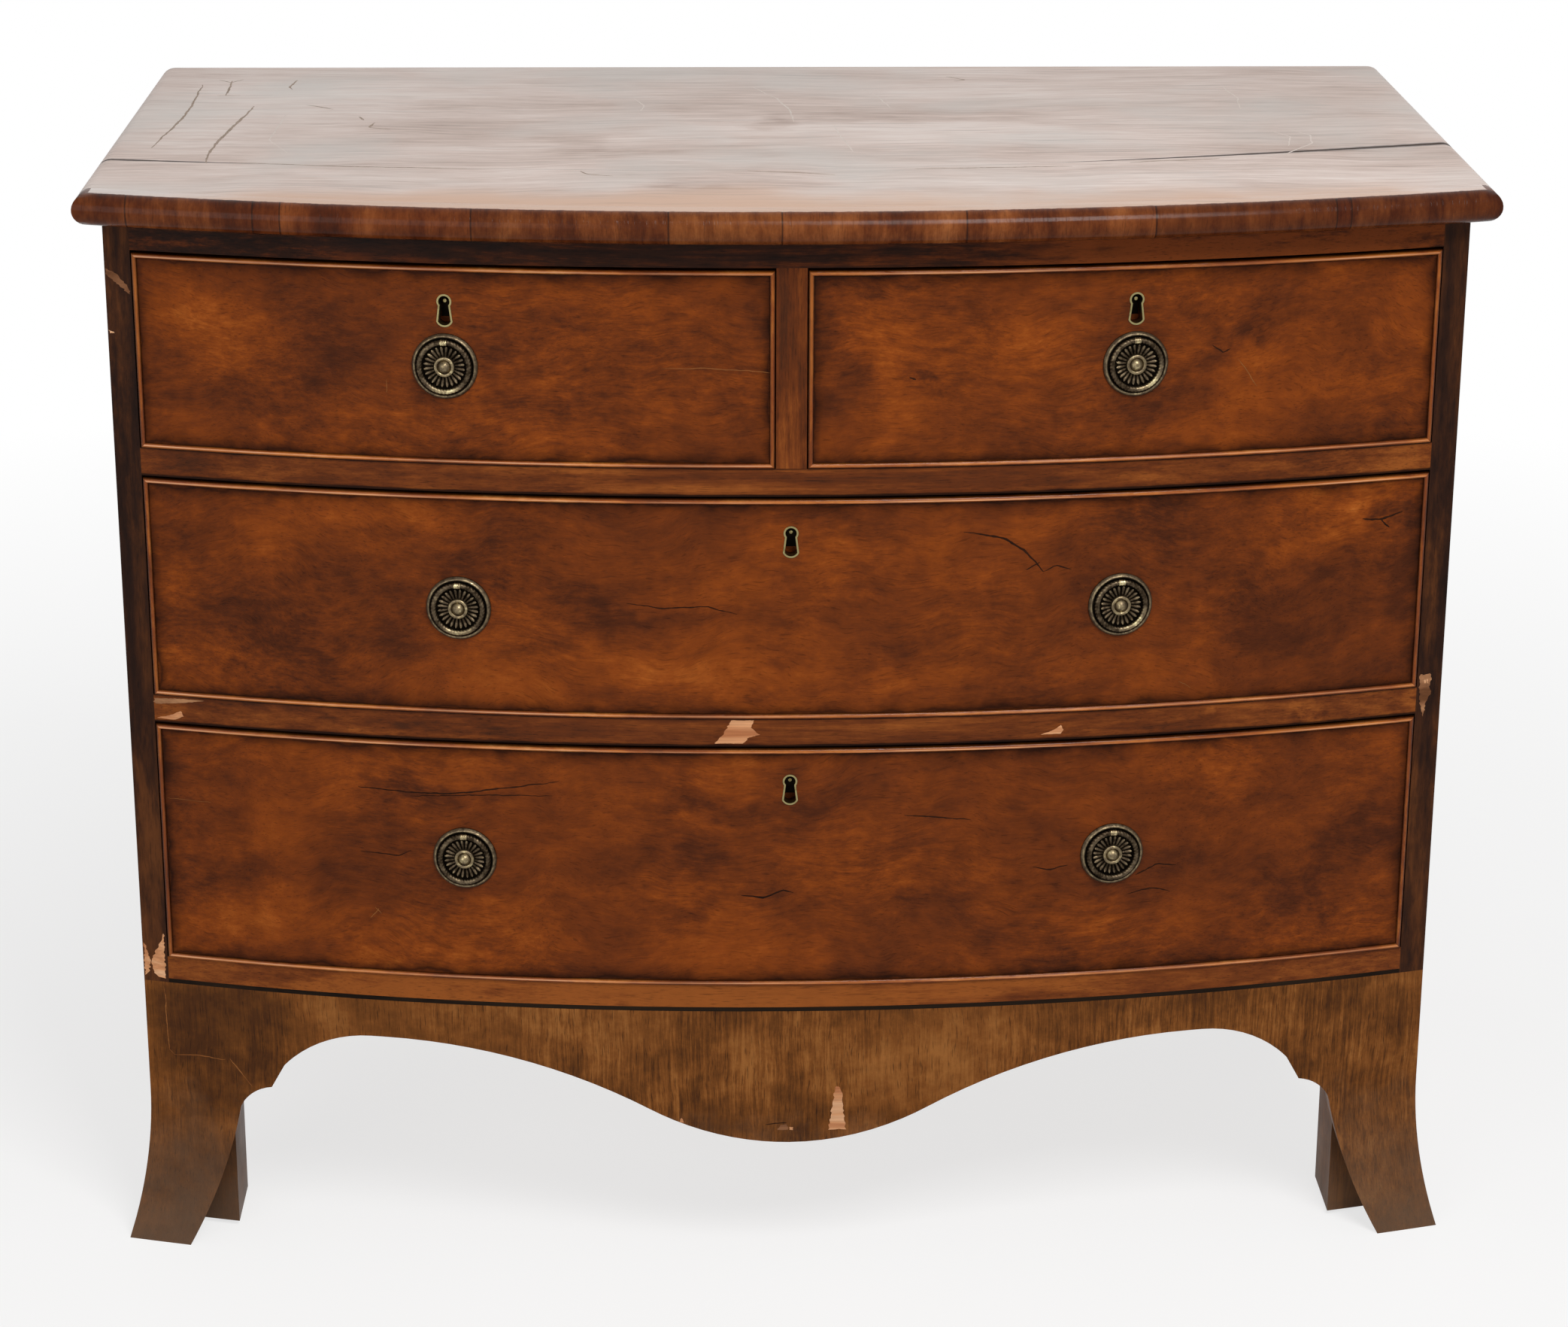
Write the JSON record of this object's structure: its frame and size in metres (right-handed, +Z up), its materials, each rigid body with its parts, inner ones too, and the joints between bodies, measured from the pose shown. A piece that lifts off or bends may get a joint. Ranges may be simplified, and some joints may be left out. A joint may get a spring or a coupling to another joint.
{
  "type": "chest of drawers",
  "caption": "Bow front mahogany chest of drawers with short drawers over long ones, cockbeaded fronts, brass ring handles, shaped apron and splayed bracket feet.",
  "frame": {"origin": "on the floor, at the centre of the overall width and depth", "axes": "+X to the right as seen from the front, +Y to the back, +Z up"},
  "size_m": [1.051, 0.5879, 0.85],
  "materials": {
    "bleached_mahogany_top": "sun-bleached mahogany, worn polish, satin",
    "mahogany_crossbanding": "cross-grained mahogany, polished",
    "mahogany_side": "straight-grained mahogany, old French polish",
    "mahogany_rail": "dark mahogany veneer, worn polish",
    "mahogany_drawer_front": "figured mahogany veneer, old French polish, semi-gloss",
    "mahogany_cockbead": "mahogany, polished",
    "mahogany_base": "mahogany veneer with upright grain, worn satin",
    "ebony_string": "black stained string line, satin",
    "pine": "aged pine, unfinished",
    "pine_back": "darkened pine, unfinished",
    "pine_drawer_lining": "aged pine, planed and unfinished",
    "brass_handle": "aged stamped and cast brass, dark in the hollows",
    "brass_lock": "aged brass",
    "iron_bolt": "dark filed iron"
  },
  "bodies": {
    "carcass": {"top_board": "bleached_mahogany_top", "top_lipping": "mahogany_crossbanding", "left_side": "mahogany_side", "right_side": "mahogany_side", "side_facings": "mahogany_rail", "top_rail": "mahogany_rail", "upper_rail": "mahogany_rail", "lower_rail": "mahogany_rail", "bottom_rail": "mahogany_rail", "base_string": "ebony_string", "muntin": "mahogany_rail", "partition": "pine", "dustboards": "pine", "drawer_runners": "pine", "drawer_stops": "pine", "back_boards": "pine_back", "apron": "mahogany_base", "side_aprons": "mahogany_base", "front_left_foot": "mahogany_base", "front_right_foot": "mahogany_base", "back_left_foot": "mahogany_base", "back_right_foot": "mahogany_base"},
    "upper_left_drawer": {"upper_left_drawer_front": "mahogany_drawer_front", "upper_left_drawer_beads": "mahogany_cockbead", "upper_left_drawer_sides": "pine_drawer_lining", "upper_left_drawer_back": "pine_drawer_lining", "upper_left_drawer_bottom": "pine_drawer_lining", "upper_left_lock": "brass_lock", "upper_left_handle_plates": "brass_handle"},
    "upper_left_lock_bolt": {"upper_left_lock_bolt": "iron_bolt"},
    "upper_left_ring": {"upper_left_ring": "brass_handle"},
    "upper_right_drawer": {"upper_right_drawer_front": "mahogany_drawer_front", "upper_right_drawer_beads": "mahogany_cockbead", "upper_right_drawer_sides": "pine_drawer_lining", "upper_right_drawer_back": "pine_drawer_lining", "upper_right_drawer_bottom": "pine_drawer_lining", "upper_right_lock": "brass_lock", "upper_right_handle_plates": "brass_handle"},
    "upper_right_lock_bolt": {"upper_right_lock_bolt": "iron_bolt"},
    "upper_right_ring": {"upper_right_ring": "brass_handle"},
    "middle_drawer": {"middle_drawer_front": "mahogany_drawer_front", "middle_drawer_beads": "mahogany_cockbead", "middle_drawer_sides": "pine_drawer_lining", "middle_drawer_back": "pine_drawer_lining", "middle_drawer_bottom": "pine_drawer_lining", "middle_lock": "brass_lock", "middle_handle_plates": "brass_handle"},
    "middle_lock_bolt": {"middle_lock_bolt": "iron_bolt"},
    "middle_left_ring": {"middle_left_ring": "brass_handle"},
    "middle_right_ring": {"middle_right_ring": "brass_handle"},
    "bottom_drawer": {"bottom_drawer_front": "mahogany_drawer_front", "bottom_drawer_beads": "mahogany_cockbead", "bottom_drawer_sides": "pine_drawer_lining", "bottom_drawer_back": "pine_drawer_lining", "bottom_drawer_bottom": "pine_drawer_lining", "bottom_lock": "brass_lock", "bottom_handle_plates": "brass_handle"},
    "bottom_lock_bolt": {"bottom_lock_bolt": "iron_bolt"},
    "bottom_left_ring": {"bottom_left_ring": "brass_handle"},
    "bottom_right_ring": {"bottom_right_ring": "brass_handle"}
  },
  "joints": [
    {"name": "upper_left_drawer_slide", "type": "slide", "parent": "carcass", "child": "upper_left_drawer", "axis": [0, -1, 0], "range_m": [0, 0.35]},
    {"name": "upper_left_lock_bolt_slide", "type": "slide", "parent": "upper_left_drawer", "child": "upper_left_lock_bolt", "axis": [0, 0, 1], "range_m": [0, 0.006]},
    {"name": "upper_left_ring_hinge", "type": "hinge", "parent": "upper_left_drawer", "child": "upper_left_ring", "pos_m": [-0.25304, -0.24871, 0.74604], "axis": [-0.9907, 0.136, 0], "range_deg": [0, 142]},
    {"name": "upper_right_drawer_slide", "type": "slide", "parent": "carcass", "child": "upper_right_drawer", "axis": [0, -1, 0], "range_m": [0, 0.35]},
    {"name": "upper_right_lock_bolt_slide", "type": "slide", "parent": "upper_right_drawer", "child": "upper_right_lock_bolt", "axis": [0, 0, 1], "range_m": [0, 0.006]},
    {"name": "upper_right_ring_hinge", "type": "hinge", "parent": "upper_right_drawer", "child": "upper_right_ring", "pos_m": [0.25304, -0.24871, 0.74604], "axis": [-0.9907, -0.136, 0], "range_deg": [0, 142]},
    {"name": "middle_drawer_slide", "type": "slide", "parent": "carcass", "child": "middle_drawer", "axis": [0, -1, 0], "range_m": [0, 0.35]},
    {"name": "middle_lock_bolt_slide", "type": "slide", "parent": "middle_drawer", "child": "middle_lock_bolt", "axis": [0, 0, 1], "range_m": [0, 0.006]},
    {"name": "middle_left_ring_hinge", "type": "hinge", "parent": "middle_drawer", "child": "middle_left_ring", "pos_m": [-0.24753, -0.24946, 0.56029], "axis": [-0.9911, 0.133, 0], "range_deg": [0, 142]},
    {"name": "middle_right_ring_hinge", "type": "hinge", "parent": "middle_drawer", "child": "middle_right_ring", "pos_m": [0.24753, -0.24946, 0.56029], "axis": [-0.9911, -0.133, 0], "range_deg": [0, 142]},
    {"name": "bottom_drawer_slide", "type": "slide", "parent": "carcass", "child": "bottom_drawer", "axis": [0, -1, 0], "range_m": [0, 0.35]},
    {"name": "bottom_lock_bolt_slide", "type": "slide", "parent": "bottom_drawer", "child": "bottom_lock_bolt", "axis": [0, 0, 1], "range_m": [0, 0.006]},
    {"name": "bottom_left_ring_hinge", "type": "hinge", "parent": "bottom_drawer", "child": "bottom_left_ring", "pos_m": [-0.24753, -0.24946, 0.35929], "axis": [-0.9911, 0.133, 0], "range_deg": [0, 142]},
    {"name": "bottom_right_ring_hinge", "type": "hinge", "parent": "bottom_drawer", "child": "bottom_right_ring", "pos_m": [0.24753, -0.24946, 0.35929], "axis": [-0.9911, -0.133, 0], "range_deg": [0, 142]}
  ]
}
